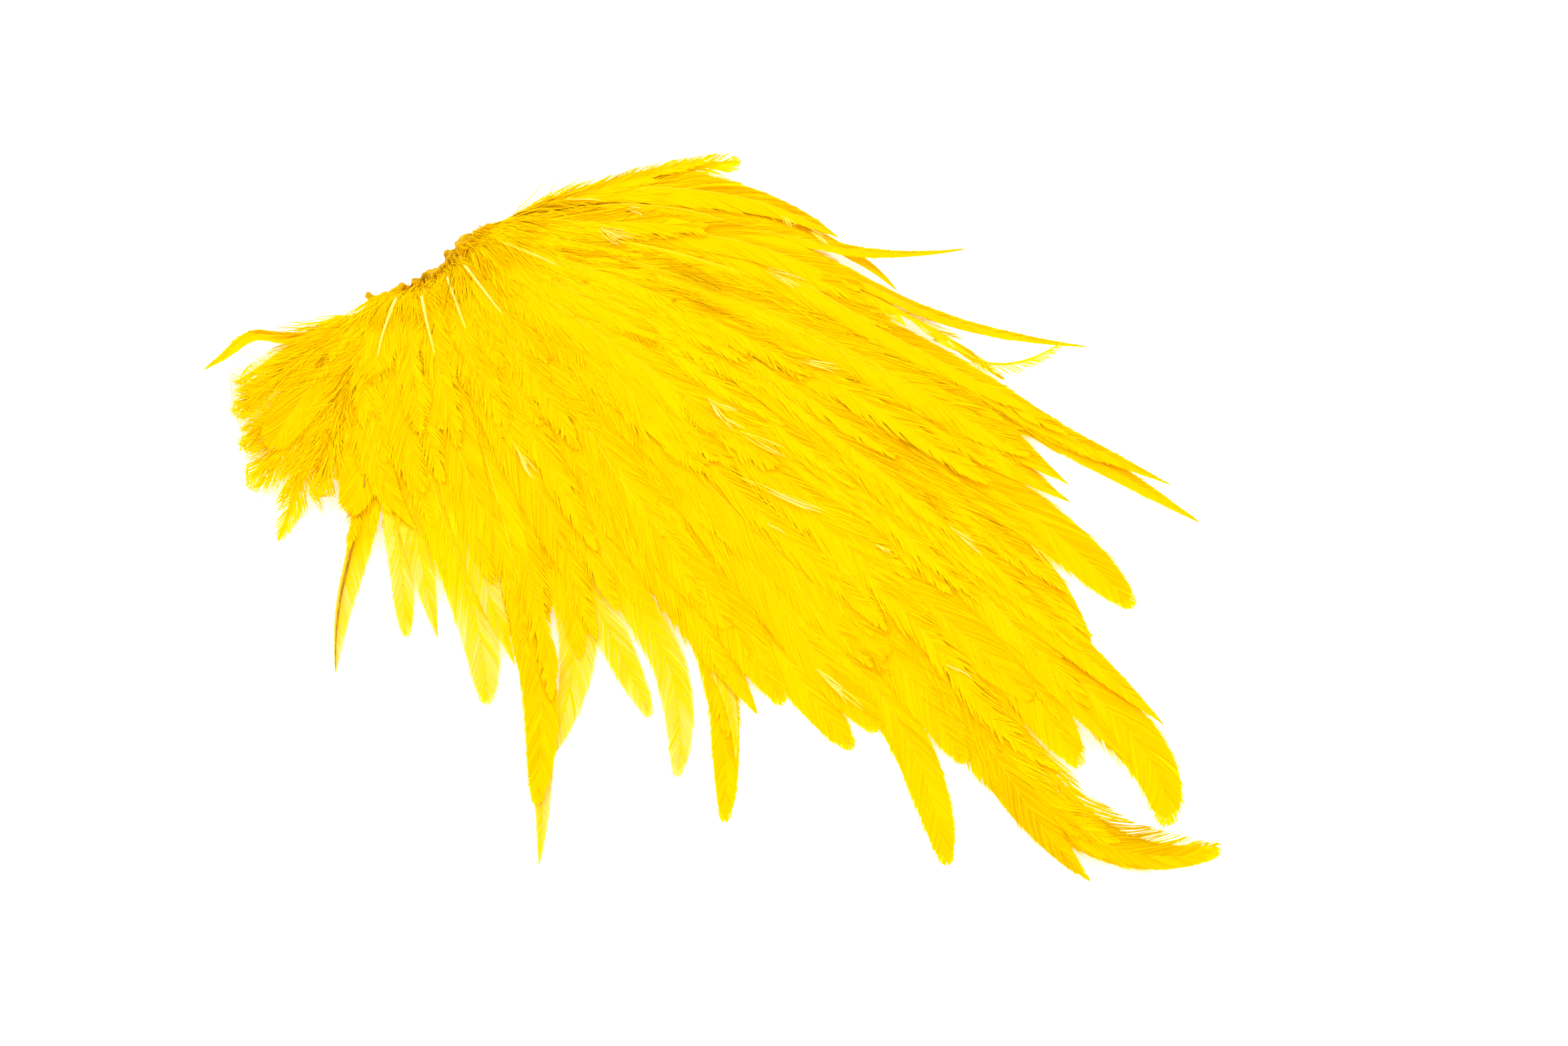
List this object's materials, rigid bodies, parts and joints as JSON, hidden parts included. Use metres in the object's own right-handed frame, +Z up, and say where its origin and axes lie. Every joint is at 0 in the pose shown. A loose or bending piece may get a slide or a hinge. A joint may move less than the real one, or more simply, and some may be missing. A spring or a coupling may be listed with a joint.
{
  "type": "rooster saddle hackle",
  "caption": "Dyed saddle hackle: long, narrow rooster feathers fanned out flat from one small piece of dried skin, for fly tying, millinery or craft work.",
  "frame": {"origin": "on the surface that it lies on, under the middle of its outline seen from above", "axes": "+Z up from that surface, +X along the longer side of the outline, towards the tips of the longest feathers, and +Y towards the skin's crumpled edge"},
  "size_m": [0.196, 0.1732, 0.0138],
  "materials": {
    "dyed_feather": "satin",
    "dried_skin": "matte"
  },
  "bodies": {
    "root": {"far_feather_1": "dyed_feather", "far_feather_2": "dyed_feather", "far_feather_3": "dyed_feather", "far_feather_4": "dyed_feather", "far_feather_5": "dyed_feather", "hanging_feather_1": "dyed_feather", "hanging_feather_2": "dyed_feather", "hanging_feather_3": "dyed_feather", "hanging_feather_4": "dyed_feather", "hanging_feather_5": "dyed_feather", "hanging_feather_6": "dyed_feather", "hanging_feather_7": "dyed_feather", "left_feather_1": "dyed_feather", "left_feather_2": "dyed_feather", "left_feather_3": "dyed_feather", "left_feather_4": "dyed_feather", "left_feather_5": "dyed_feather", "left_feather_6": "dyed_feather", "left_feather_7": "dyed_feather", "long_feather_1": "dyed_feather", "long_feather_2": "dyed_feather", "long_feather_3": "dyed_feather", "long_feather_4": "dyed_feather", "long_feather_5": "dyed_feather", "long_feather_6": "dyed_feather", "long_feather_7": "dyed_feather", "long_feather_8": "dyed_feather", "long_feather_9": "dyed_feather", "long_feather_10": "dyed_feather", "long_feather_11": "dyed_feather", "long_feather_12": "dyed_feather", "long_feather_13": "dyed_feather", "longest_feather_1": "dyed_feather", "longest_feather_2": "dyed_feather", "longest_feather_3": "dyed_feather", "longest_feather_4": "dyed_feather", "longest_feather_5": "dyed_feather", "longest_feather_6": "dyed_feather", "longest_feather_7": "dyed_feather", "longest_feather_8": "dyed_feather", "right_feather_1": "dyed_feather", "right_feather_2": "dyed_feather", "right_feather_3": "dyed_feather", "right_feather_4": "dyed_feather", "right_feather_5": "dyed_feather", "right_feather_6": "dyed_feather", "right_feather_7": "dyed_feather", "right_feather_8": "dyed_feather", "top_feather_1": "dyed_feather", "top_feather_2": "dyed_feather", "top_feather_3": "dyed_feather", "top_feather_4": "dyed_feather", "top_feather_5": "dyed_feather", "top_feather_6": "dyed_feather", "top_feather_7": "dyed_feather", "top_feather_8": "dyed_feather", "top_feather_9": "dyed_feather", "top_feather_10": "dyed_feather", "top_feather_11": "dyed_feather", "skin": "dried_skin"}
  },
  "joints": []
}
